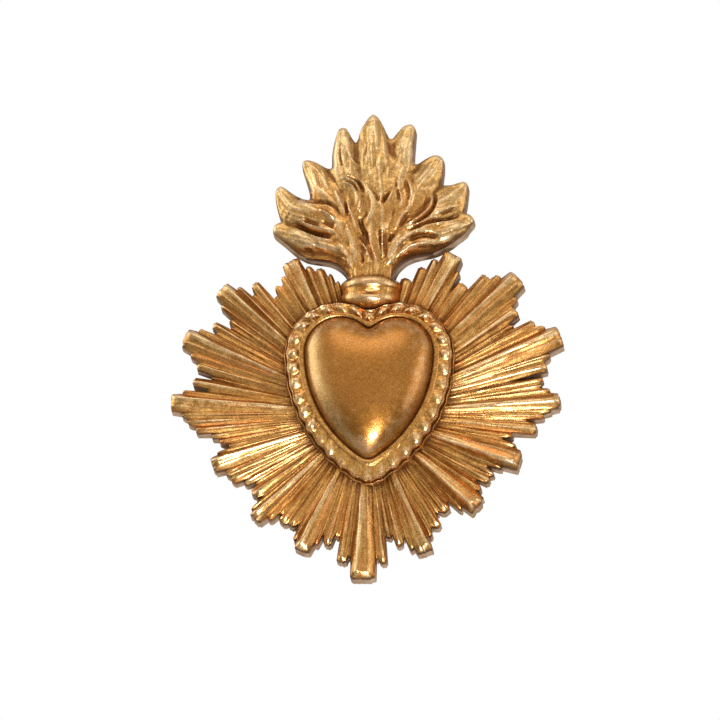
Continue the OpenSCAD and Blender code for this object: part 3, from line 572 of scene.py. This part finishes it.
def make_heart():
    """The puffed heart and its crimped rim, ring by ring down into the rays."""
    rays_z = EDGE_T + BURST_RISE
    groove_z = rays_z + GROOVE_LIFT
    rim_z = groove_z + RIM_H
    mid = np.array([HEART_X, HEART_Y - HEART_DROP * 0.3])
    base = heart_outline(0)
    station = np.arange(len(base))
    phase = 2 * np.pi * station / CRIMP_STATIONS
    number = np.floor(station / CRIMP_STATIONS + 0.5)
    vary = 1 + 0.55 * noise(number * 2.7, number * 0 + 1.5, 21)
    # Crimps are highest at the top left and flatten towards the tip
    across = np.clip(0.35 + (base[:, 1] * 1.3 - base[:, 0] * 0.6) / 40, 0, 1)
    pad = (0.5 + 0.5 * np.cos(phase + 0.5 * noise(number * 1.9, number * 0 + 4.5, 23))) ** 0.65 * vary
    lip = (0.03 + 0.03 * smoothstep((12 - base[:, 1]) / 12)) * np.cos(phase) * vary

    def level(g, z):
        p = heart_outline(g)
        wob = 0.05 * noise(p[:, 0] * 0.6, p[:, 1] * 0.6, 31)
        return np.column_stack([p, np.broadcast_to(z, station.shape) + wob])

    loops = []
    for s in DOME_RINGS:
        d = (around(base, 1 + 70 * (1 - s)) if s < 0.99 else base) - mid
        z = groove_z + DOME_H * (1 - s ** 2.5) ** 0.6
        loops.append(np.column_stack([d * s + mid, np.full(len(base), z)]))
    loops.append(level(0, groove_z + 0.45))
    loops += [level(g, groove_z + z) for g, z in GROOVE_ROWS]
    loops += [level(g, rim_z + z) for g, z in LIP_ROWS]
    for g, rest, up in CRIMP_ROWS:
        up = up * (0.4 + 0.75 * across)
        place = heart_outline(g)
        dents = 0.07 * noise(place[:, 0] * 1.1, place[:, 1] * 1.1, 33) * np.minimum(1, up)
        loops.append(level(g + lip * (g > 0.7), rim_z + rest + CRIMP_H * 1.5 * up * pad + dents))
    loops += [level(g + lip, rim_z + z + 0.25 * CRIMP_H * pad) for g, z in EDGE_ROWS]
    loops += [level(g + lip * 0.6, rays_z + z) for g, z in MOULDING_ROWS]
    foot = EDGE_T - VALLEY_DEPTH - 0.4
    loops.append(level(1.19, foot))
    return loft("heart", (mid[0], mid[1], groove_z + DOME_H), loops, (mid[0], mid[1], foot))


def bodies_height(p):
    """Height of the merged bodies of the flame, with fine strands on them."""
    h = np.full(len(p), TONGUE_EDGE + 0.6)
    total = np.exp(h / BLEND)
    strands = np.zeros(len(p))
    # No strands in the spoon-like tongue, more of them on the neck
    calm = 1 - np.exp(-((p[:, 0] + 5) ** 2 + (p[:, 1] - 58.5) ** 2) / 40)
    neck = 1.2 * np.exp(-(p[:, 0] ** 2 / 50 + (p[:, 1] - 36) ** 2 / 20))
    for number, body in enumerate(BODIES):
        line = curve(body, 1.2)
        line[:, 1] -= SKEW * line[:, 0]
        d, t = to_line(p, line)
        dist = np.concatenate([[0], np.cumsum(np.linalg.norm(np.diff(line[:, :2], axis=0), axis=1))])
        dist /= dist[-1]
        half_width = np.interp(t, dist, line[:, 2])
        crest = np.interp(t, dist, line[:, 3])
        z = crest - 0.2 - 1.8 * (np.abs(d) / half_width) ** 2
        weight = np.exp(np.clip(z, 0, 20) / BLEND)
        total += weight
        flow = (0.20 * noise(d * 1.1 + number * 7, t * 2, 71)
                + 0.10 * noise(d * 2.6 + number * 9, t * 3, 73))
        strands += (calm + neck) * weight * flow * smoothstep(t * 4 + 0.3)
    return BLEND * np.log(total) + strands / total


def add_lines(h, p):
    """Raises crests and sinks grooves along the lines of the flame."""
    # Grooves and the lines higher up are a little fainter
    for amount, width, line in LINES:
        line = curve(line, 0.7)
        near = np.flatnonzero((np.abs(p[:, 0] - line[:, 0].mean()) < np.ptp(line[:, 0]) / 2 + 4)
                              & (np.abs(p[:, 1] - line[:, 1].mean()) < np.ptp(line[:, 1]) / 2 + 4))
        d, t = to_line(p[near], line)
        taper = smoothstep(t / 0.28) * smoothstep((1 - t) / 0.28)
        taper = np.where(np.minimum(t, 1 - t) <= 0, 0, taper)
        depth = amount * (0.85 if amount < 0 else 0.9) * np.interp(line[:, 1].mean(), [50, 62], [1, 0.8])
        h[near] += depth * taper * np.exp(-(d / (0.9 * width)) ** 2)


def flame_height(p, edge_dist):
    """Height of the flame's front at design points."""
    h = bodies_height(p)
    add_lines(h, p)
    h += 0.05 * noise(p[:, 0] * 0.9, p[:, 1] * 0.9, 41) + 0.03 * noise(p[:, 0] * 2.2, p[:, 1] * 2.2, 43)
    k = np.clip(edge_dist / 1.5, 0, 1)
    fall = np.sqrt(np.clip(1 - (1 - k) ** 2, 0, 1))
    low = TONGUE_EDGE - 0.4 + 2.4 * np.exp(-(p[:, 0] ** 2 / 170 + (p[:, 1] - 38) ** 2 / 60))
    h = np.maximum(h, low + 0.4)
    return low + (h - low) * (0.12 + 0.88 * fall)


def flame_points(rim, inward):
    """Points of the flame's front: its rim, a row just inside, and a grid."""
    closed_rim = np.vstack([rim, rim[:1]])
    xs = np.arange(-28, 28, FLAME_STEP)
    ys = np.arange(34, 82.5, FLAME_STEP * 0.866)
    gx, gy = np.meshgrid(xs, ys)
    gx[1::2] += FLAME_STEP / 2
    grid = np.column_stack([gx.ravel(), gy.ravel()])
    grid = grid[inside(grid, rim)]
    grid = grid[np.abs(to_line(grid, closed_rim)[0]) > 0.4]
    # The close row gives the edge a clean rounding
    near = rim + inward * 0.22
    near = near[(np.abs(to_line(near, closed_rim)[0]) > 0.17) & inside(near, rim)]
    return np.vstack([rim, near, grid])


def fill(points, count, tolerance):
    """Triangles over the points, whose first ones are the closed outline."""
    edges = [(i, (i + 1) % count) for i in range(count)]
    vectors = [Vector(p) for p in points]
    verts, _, faces, sources, _, _ = delaunay_2d_cdt(vectors, edges, [list(range(count))], 1, tolerance)
    return verts, faces, sources


def make_flame():
    """A front of changing height over the outline, with walls and a flat back."""
    rim = curve(FLAME_OUTLINE, 0.4, closed=True)
    # Counter-clockwise, so that the inside lies on the left
    if np.sum(rim[:, 0] * np.roll(rim[:, 1], -1) - np.roll(rim[:, 0], -1) * rim[:, 1]) < 0:
        rim = rim[::-1]
    tangent = np.roll(rim, -1, axis=0) - np.roll(rim, 1, axis=0)
    tangent /= np.linalg.norm(tangent, axis=1)[:, None]
    inward = np.column_stack([-tangent[:, 1], tangent[:, 0]])
    n = len(rim)
    verts, faces, sources = fill(flame_points(rim, inward), n, 1e-5)
    flat = np.array([[v[0], v[1]] for v in verts])
    edge_dist = np.abs(to_line(flat, np.vstack([rim, rim[:1]]))[0])
    top_z = flame_height(flat, edge_dist)
    index = {s: k for k, source in enumerate(sources) for s in source if s < n}
    border = [index[i] for i in range(n)]
    all_verts = [np.column_stack([flat, top_z])]
    all_faces = [tuple(f) for f in faces]
    previous = border
    # The walls lean outwards on their way down to the back
    for number, (share, out) in enumerate(((0.85, 0.06), (0.45, 0.2), (0.0, DRAFT - 0.08))):
        base = rim - inward * out
        all_verts.append(np.column_stack([base, top_z[border] * share]))
        wall = [len(flat) + number * n + i for i in range(n)]
        for i in range(n):
            j = (i + 1) % n
            all_faces.append((previous[j], previous[i], wall[i], wall[j]))
        previous = wall
    _, back_faces, back_sources = fill(base, n, 1e-6)
    back = {k: previous[source[0]] for k, source in enumerate(back_sources)}
    all_faces += [tuple(back[k] for k in reversed(f)) for f in back_faces]
    return closed_mesh("flame", np.vstack(all_verts), all_faces)


def make_collar():
    """The turned ring below the flame: a half round that stands on a box."""
    waist = COLLAR_R - WAIST_DEPTH
    shoulder = COLLAR_R - COLLAR_BEAD
    profile = [(3.2, -7.6), (4.8, -7.1), (6.4, -6.2), (7.5, -5.1), (COLLAR_R - 0.15, -4.1),
               (COLLAR_R - 0.05, -3.3), (waist + 0.3, -2.5), (waist + 0.15, -1.8)]
    profile += [(shoulder + COLLAR_BEAD * math.cos(t), COLLAR_BEAD * math.sin(t))
                for t in np.radians(np.arange(-34, 91, 12))]
    profile += [(shoulder - 0.4, COLLAR_BEAD * 1.04), (NECK_R - 0.6, COLLAR_BEAD * 1.3),
                (NECK_R - 1, COLLAR_BEAD * 1.9), (NECK_R - 1, COLLAR_BEAD * 2.5)]
    # Its end is hidden in the flame's neck
    profile = curve(profile, 0.35)
    a = np.radians(np.linspace(0, 180, 61))
    ring = np.column_stack([np.concatenate([np.cos(a), [-1, 1]]), np.concatenate([np.sin(a), [0, 0]])])
    lift = np.concatenate([np.full(len(a), COLLAR_Z), [0, 0]])
    loops = []
    for r, y in profile:
        wob = 0.06 * noise(ring[:, 0] * 4 + 9, np.full(len(ring), y * 0.8), 51)
        dent = 0.9 * np.exp(-((y + 2.6) / 0.8) ** 2 - ((ring[:, 0] - 0.05) / 0.38) ** 2) * (ring[:, 1] > 0)
        radius = r + wob - dent
        up = np.full(len(ring), COLLAR_Y + y)
        loops.append(np.column_stack([ring[:, 0] * radius + COLLAR_X, up, lift + ring[:, 1] * radius]))
    ends = [(0, COLLAR_Y + profile[k][1], 1) for k in (0, -1)]
    return loft("collar", ends[0], loops, ends[1])


def make_hole():
    """The cutter of the blind hole, which starts behind the back."""
    n = 48
    a = np.radians(np.arange(n) * 360 / n)
    r = HOLE_D / 2
    circle = np.column_stack([r * np.cos(a), HOLE_Y + r * np.sin(a)])
    loops = [np.column_stack([circle, np.full(n, z)]) for z in (HOLE_DEPTH, -1)]
    return loft("hole", (0, HOLE_Y, HOLE_DEPTH), loops, (0, HOLE_Y, -1))


def outward_faces(obj):
    """Turns the faces outwards, judged by the enclosed volume."""
    bm = bmesh.new()
    bm.from_mesh(obj.data)
    bmesh.ops.recalc_face_normals(bm, faces=bm.faces)
    if bm.calc_volume(signed=True) < 0:
        bmesh.ops.reverse_faces(bm, faces=bm.faces)
    bmesh.ops.triangulate(bm, faces=bm.faces)
    bm.to_mesh(obj.data)
    bm.free()


def combine(body, other, operation):
    """Joins another closed mesh to the body or cuts it out."""
    outward_faces(other)
    modifier = body.modifiers.new("join", "BOOLEAN")
    modifier.operation = operation
    modifier.solver = "MANIFOLD"
    modifier.object = other
    graph = bpy.context.evaluated_depsgraph_get()
    merged = bpy.data.meshes.new_from_object(body.evaluated_get(graph))
    body.modifiers.clear()
    body.data = merged
    bpy.data.objects.remove(other)


def make_casting():
    body = make_sunburst()
    outward_faces(body)
    for other in (make_heart(), make_collar(), make_flame()):
        combine(body, other, "UNION")
    combine(body, make_hole(), "DIFFERENCE")
    body.name = "heart_casting"
    body.data.name = "heart_casting"
    return body


class HeightMap:
    """Front of the object as a grid of heights above its back, in metres."""
    CELL = 0.00022
    X0, X1, Z0, Z1 = -0.054, 0.054, -0.068, 0.061
    IN_FRONT = -0.03

    def __init__(self, mesh):
        corners = [tuple(p.vertices) for p in mesh.polygons]
        tree = BVHTree.FromPolygons([v.co for v in mesh.vertices], corners)
        across = np.arange(self.X0, self.X1, self.CELL)
        up = np.arange(self.Z0, self.Z1, self.CELL)
        self.height = np.zeros((len(up), len(across)))
        for row, z in enumerate(up):
            for column, x in enumerate(across):
                hit = tree.ray_cast(Vector((x, self.IN_FRONT, z)), Vector((0, 1, 0)))[0]
                if hit is not None:
                    self.height[row, column] = -hit.y

    def above_mean(self, radius):
        """How far each place stands above the mean of its surroundings."""
        solid = (self.height > 0).astype(float)
        sigma = radius / self.CELL
        mean = blur(self.height * solid, sigma) / np.maximum(blur(solid, sigma), 0.15)
        return self.height - mean

    def sample(self, grid, x, z):
        rows, columns = grid.shape
        fx = np.clip((x - self.X0) / self.CELL, 0, columns - 1.001)
        fz = np.clip((z - self.Z0) / self.CELL, 0, rows - 1.001)
        ix, iz = fx.astype(int), fz.astype(int)
        tx, tz = fx - ix, fz - iz
        return ((grid[iz, ix] * (1 - tx) + grid[iz, ix + 1] * tx) * (1 - tz)
                + (grid[iz + 1, ix] * (1 - tx) + grid[iz + 1, ix + 1] * tx) * tz)


def vertex_values(mesh, name):
    values = np.empty(len(mesh.vertices) * 3)
    mesh.vertices.foreach_get(name, values)
    return values.reshape(-1, 3).T


def paint_relief(mesh):
    """Keeps three masks as a colour attribute for the material: height above
    the surroundings, bare walls and back, and paler places, with a painted
    reflection on the dome's left flank."""
    heights = HeightMap(mesh)
    x, y, z = vertex_values(mesh, "co")
    nx, ny, nz = vertex_values(mesh, "normal")
    fine = heights.sample(heights.above_mean(0.0006), x, z)
    wide = heights.sample(heights.above_mean(0.0020), x, z)
    top = heights.sample(heights.height, x, z)
    on_flame = smoothstep((z - 0.0165) / 0.002) * (np.abs(x) < 0.028)
    recess = 0.5 + fine / (0.0008 - 0.0003 * on_flame)
    recess += np.clip(wide / (0.0040 - 0.0022 * on_flame), -0.12 - 0.3 * on_flame, 0.22)
    recess = np.clip(recess, 0, 1)
    # Side walls and back stay bare: the front's height there is far above them
    bare = smoothstep((top + y - 0.0006) / 0.0012) * smoothstep((0.35 + ny) / 0.35)
    bare = np.maximum(bare, smoothstep((ny - 0.5) / 0.3))
    # So does all that lies near the back, unless it faces the front
    bare = np.maximum(bare, (-y < 0.0042) & (ny > -0.5))
    # The flame's right walls keep their gilding
    right_wall = smoothstep((nx - 0.2) / 0.3) * (nz > -0.3) * (y < -0.001)
    bare *= 1 - 0.75 * on_flame * right_wall
    # The flame's upper tongues and outer tips are paler
    tips = smoothstep((z - 0.030) / 0.016) + smoothstep((np.abs(x) - 0.015) / 0.008)
    pale_and_sheen = on_flame * np.clip(tips, 0, 1)
    # Painted reflection: the dome's left flank, where its normals turn towards the left lamp, is painted
    # paler
    lamp_sheen = smoothstep((-nx - 0.30) / 0.2) * smoothstep((-y - 0.0100) / 0.0008)
    on_dome = (np.hypot(x, z + 0.010) < 0.0235) * (np.abs(x) < 0.0172) * (z < 0.0008)
    pale_and_sheen = np.maximum(pale_and_sheen, lamp_sheen * on_dome)
    attribute = mesh.color_attributes.new("relief", "FLOAT_COLOR", "POINT")
    attribute.data.foreach_set("color", np.column_stack([recess, bare, pale_and_sheen, np.ones(len(x))]).ravel())


class Nodes:
    """Short names for the nodes of one node tree."""
    def __init__(self, tree):
        self.tree = tree

    def add(self, kind, **values):
        n = self.tree.nodes.new(kind)
        for name, value in values.items():
            setattr(n, name, value)
        return n

    def link(self, value, socket):
        if hasattr(value, "is_output"):
            self.tree.links.new(value, socket)
        else:
            socket.default_value = value

    def maths(self, operation, a, b=None, clamp=False):
        n = self.add("ShaderNodeMath", operation=operation, use_clamp=clamp)
        self.link(a, n.inputs[0])
        if b is not None:
            self.link(b, n.inputs[1])
        return n.outputs[0]

    def plus(self, a, b, clamp=False):
        return self.maths("ADD", a, b, clamp)

    def minus(self, a, b):
        return self.maths("SUBTRACT", a, b)

    def times(self, a, b):
        return self.maths("MULTIPLY", a, b)

    def ramp(self, value, low, high):
        n = self.add("ShaderNodeMapRange")
        for place, entry in enumerate((value, low, high)):
            self.link(entry, n.inputs[place])
        return n.outputs[0]

    def mix(self, factor, a, b, blend="MIX"):
        n = self.add("ShaderNodeMix", data_type="RGBA", blend_type=blend)
        for entry, place in ((factor, 0), (a, 6), (b, 7)):
            self.link(entry, n.inputs[place])
        return n.outputs[2]

    def noise(self, vector, scale, detail, rough=0.5):
        n = self.add("ShaderNodeTexNoise")
        for name, value in (("Scale", scale), ("Detail", detail), ("Roughness", rough), ("Vector", vector)):
            self.link(value, n.inputs[name])
        return n.outputs["Fac"]


def brushed_gold(n, gold, place, dome):
    """Adds streaks and long red strips that run out from the middle, as the
    gilding was brushed: none on the dome and fainter ones on the flame."""
    across, _, height = place.outputs
    up = n.plus(height, HOLE_Y / 1000)
    radius = n.maths("SQRT", n.plus(n.times(across, across), n.times(up, up)))
    # Noise that changes fast round the middle and slowly along each ray
    spoke = n.add("ShaderNodeCombineXYZ")
    n.link(n.times(n.maths("DIVIDE", across, radius), 75.0), spoke.inputs[0])
    n.link(n.times(n.maths("DIVIDE", up, radius), 75.0), spoke.inputs[1])
    n.link(n.times(radius, 150.0), spoke.inputs[2])
    plain = n.maths("MAXIMUM", dome, n.times(n.ramp(height, 0.010, 0.018), 0.65))
    brushed = n.minus(1.0, plain)
    streaks = n.ramp(n.noise(spoke.outputs[0], 1.0, 3), 0.36, 0.64)
    streaked = n.mix(1.0, gold, n.mix(streaks, STREAK_DARK, STREAK_LIGHT), "MULTIPLY")
    gold = n.mix(n.times(brushed, 0.9), gold, streaked)
    ground = n.times(n.ramp(n.noise(spoke.outputs[0], 0.28, 3), 0.53, 0.63), 0.6)
    ground = n.times(ground, n.ramp(radius, 0.022, 0.028))
    return n.mix(n.times(ground, brushed), gold, RED_GROUND)


def gilt_material():
    """Old gilding with worn crests and dark recesses, over a clay-like body."""
    material = bpy.data.materials.new("antique_gilt")
    material.use_nodes = True
    n = Nodes(material.node_tree)
    shader = material.node_tree.nodes["Principled BSDF"]
    coord = n.add("ShaderNodeTexCoord").outputs["Object"]
    place = n.add("ShaderNodeSeparateXYZ")
    n.link(coord, place.inputs[0])
    masks = n.add("ShaderNodeSeparateColor")
    n.link(n.add("ShaderNodeAttribute", attribute_name="relief").outputs["Color"], masks.inputs[0])
    high, bare, pale_and_sheen = masks.outputs
    grain = n.noise(coord, 2600, 3, 0.7)
    mottle = n.noise(coord, 420, 4, 0.65)
    broad = n.noise(coord, 70, 3, 0.5)
    # Only the dome stands out this far from the back
    dome = n.ramp(place.outputs[1], -0.0102, -0.0118)
    worn = n.ramp(n.plus(high, n.times(n.minus(mottle, 0.5), 0.5)), 0.62, 0.95)
    deep = n.ramp(n.plus(high, n.times(n.minus(grain, 0.5), 0.35)), 0.36, 0.02)
    deep = n.times(deep, n.minus(1.0, n.times(dome, 0.75)))
    stain = n.ramp(n.plus(bare, n.times(n.minus(broad, 0.5), 0.5)), 0.35, 0.7)
    gilt = n.minus(1.0, stain)

    tone = n.ramp(n.plus(n.times(grain, 0.7), n.times(mottle, 0.3)), 0.38, 0.62)
    gold = n.mix(tone, GOLD_DARK, GOLD_LIGHT)
    gold = n.mix(n.times(n.ramp(broad, 0.42, 0.66), 0.6), gold, GOLD_WARM)
    # The paler mix also holds a painted reflection on the dome's left flank
    for mask, share, colour in ((dome, 0.8, GOLD_DOME), (pale_and_sheen, 0.45, GOLD_PALE_AND_SHEEN),
                                (worn, 0.55, GOLD_WORN), (deep, 0.85, PATINA)):
        gold = n.mix(n.times(mask, share), gold, colour)
    gold = brushed_gold(n, gold, place, dome)
    fleck = n.ramp(n.noise(coord, 3300, 2, 0.7), 0.42, 0.58)
    gold = n.mix(1.0, gold, n.mix(fleck, FLECK_DARK, FLECK_LIGHT), "MULTIPLY")
    clay = n.mix(n.ramp(mottle, 0.35, 0.65), CLAY_DARK, CLAY_LIGHT)
    n.link(n.mix(stain, gold, clay), shader.inputs["Base Color"])

    gloss = n.plus(0.29, n.times(n.minus(mottle, 0.5), 0.3))
    gloss = n.plus(gloss, n.times(deep, 0.25))
    n.link(n.plus(gloss, n.times(stain, 0.4), clamp=True), shader.inputs["Roughness"])
    n.link(n.times(gilt, n.minus(0.96, n.times(deep, 0.08))), shader.inputs["Metallic"])
    n.link(n.times(n.minus(0.4, n.times(deep, 0.36)), gilt), shader.inputs["Coat Weight"])
    n.link(n.times(gilt, 0.5), shader.inputs["Specular IOR Level"])
    shader.inputs["Coat Roughness"].default_value = 0.16
    bump = n.add("ShaderNodeBump")
    bump.inputs["Strength"].default_value = 0.24
    bump.inputs["Distance"].default_value = 0.00012
    n.link(n.plus(grain, n.times(mottle, 0.7)), bump.inputs["Height"])
    for name in ("Normal", "Coat Normal"):
        n.link(bump.outputs[0], shader.inputs[name])
    return material


def make_floor():
    size, low = 4.0, -0.9
    corners = [(-size, -size, low), (size, -size, low), (size, size, low), (-size, size, low)]
    mesh = bpy.data.meshes.new("floor")
    mesh.from_pydata(corners, [], [(0, 1, 2, 3)])
    obj = bpy.data.objects.new("floor", mesh)
    bpy.context.scene.collection.objects.link(obj)
    material = bpy.data.materials.new("pale_floor")
    material.use_nodes = True
    shader = material.node_tree.nodes["Principled BSDF"]
    shader.inputs["Base Color"].default_value = (0.86, 0.86, 0.86, 1)
    shader.inputs["Roughness"].default_value = 0.8
    mesh.materials.append(material)


def make_world():
    """Soft light from all round, seen as plain white by the camera, in
    reflections and through clear things."""
    world = bpy.data.worlds.new("studio")
    bpy.context.scene.world = world
    world.use_nodes = True
    world.node_tree.nodes.clear()
    n = Nodes(world.node_tree)
    ray = n.add("ShaderNodeLightPath").outputs
    seen = n.maths("MAXIMUM", ray["Is Camera Ray"], ray["Is Glossy Ray"])
    seen = n.maths("MAXIMUM", seen, ray["Is Transmission Ray"])
    choose = n.add("ShaderNodeMixShader")
    n.link(seen, choose.inputs[0])
    for place, strength in ((1, 0.42), (2, 1.0)):
        background = n.add("ShaderNodeBackground")
        background.inputs[0].default_value = (1, 1, 1, 1)
        background.inputs[1].default_value = strength
        n.link(background.outputs[0], choose.inputs[place])
    n.link(choose.outputs[0], n.add("ShaderNodeOutputWorld").inputs[0])


def softbox(name, place, aim, width, height, power, colour):
    """A rectangular lamp; sizes in metres and power in watts."""
    light = bpy.data.lights.new(name, "AREA")
    light.shape = "RECTANGLE"
    light.size, light.size_y = width, height
    light.energy = power
    light.color = colour
    obj = bpy.data.objects.new(name, light)
    obj.location = place
    obj.rotation_euler = (Vector(aim) - Vector(place)).to_track_quat("-Z", "Y").to_euler()
    bpy.context.scene.collection.objects.link(obj)


def make_camera():
    camera = bpy.data.cameras.new("camera")
    camera.sensor_width = SENSOR
    camera.lens = SENSOR * DISTANCE / VIEW_WIDTH
    camera.clip_start, camera.clip_end = 0.01, 20
    eye = bpy.data.objects.new("camera", camera)
    bpy.context.scene.collection.objects.link(eye)
    back = Vector((math.sin(AZIMUTH) * math.cos(ELEVATION), -math.cos(AZIMUTH) * math.cos(ELEVATION),
                   math.sin(ELEVATION)))
    eye.location = AIM + back * DISTANCE
    turn = (-back).to_track_quat("-Z", "Y").to_matrix() @ Matrix.Rotation(ROLL, 3, "Z")
    eye.rotation_euler = turn.to_euler()
    bpy.context.scene.camera = eye


piece = make_casting()
paint_relief(piece.data)
piece.data.shade_smooth()
piece.data.set_sharp_from_angle(angle=math.radians(42))
piece.data.materials.clear()
piece.data.materials.append(gilt_material())
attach(piece, "root")
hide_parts("votive_heart")

make_floor()
make_world()
softbox("low", (0.24, -0.95, -0.68), (0, 0, -0.01), 0.34, 0.13, 12.8, (0.86, 0.97, 1.32))
softbox("left", (-1.15, -0.02, 0.35), (0, 0, 0), 1.0, 1.0, 6.6, (0.86, 0.97, 1.05))
softbox("top", (-0.1, -1.0, 1.1), (0, 0, 0), 1.2, 0.6, 4.0, (1.0, 0.98, 1.0))
softbox("right", (1.2, -0.5, 0.1), (0, 0, 0), 0.5, 1.0, 2.5, (1.0, 0.97, 1.0))
make_camera()
bpy.context.scene.view_settings.view_transform = "Standard"
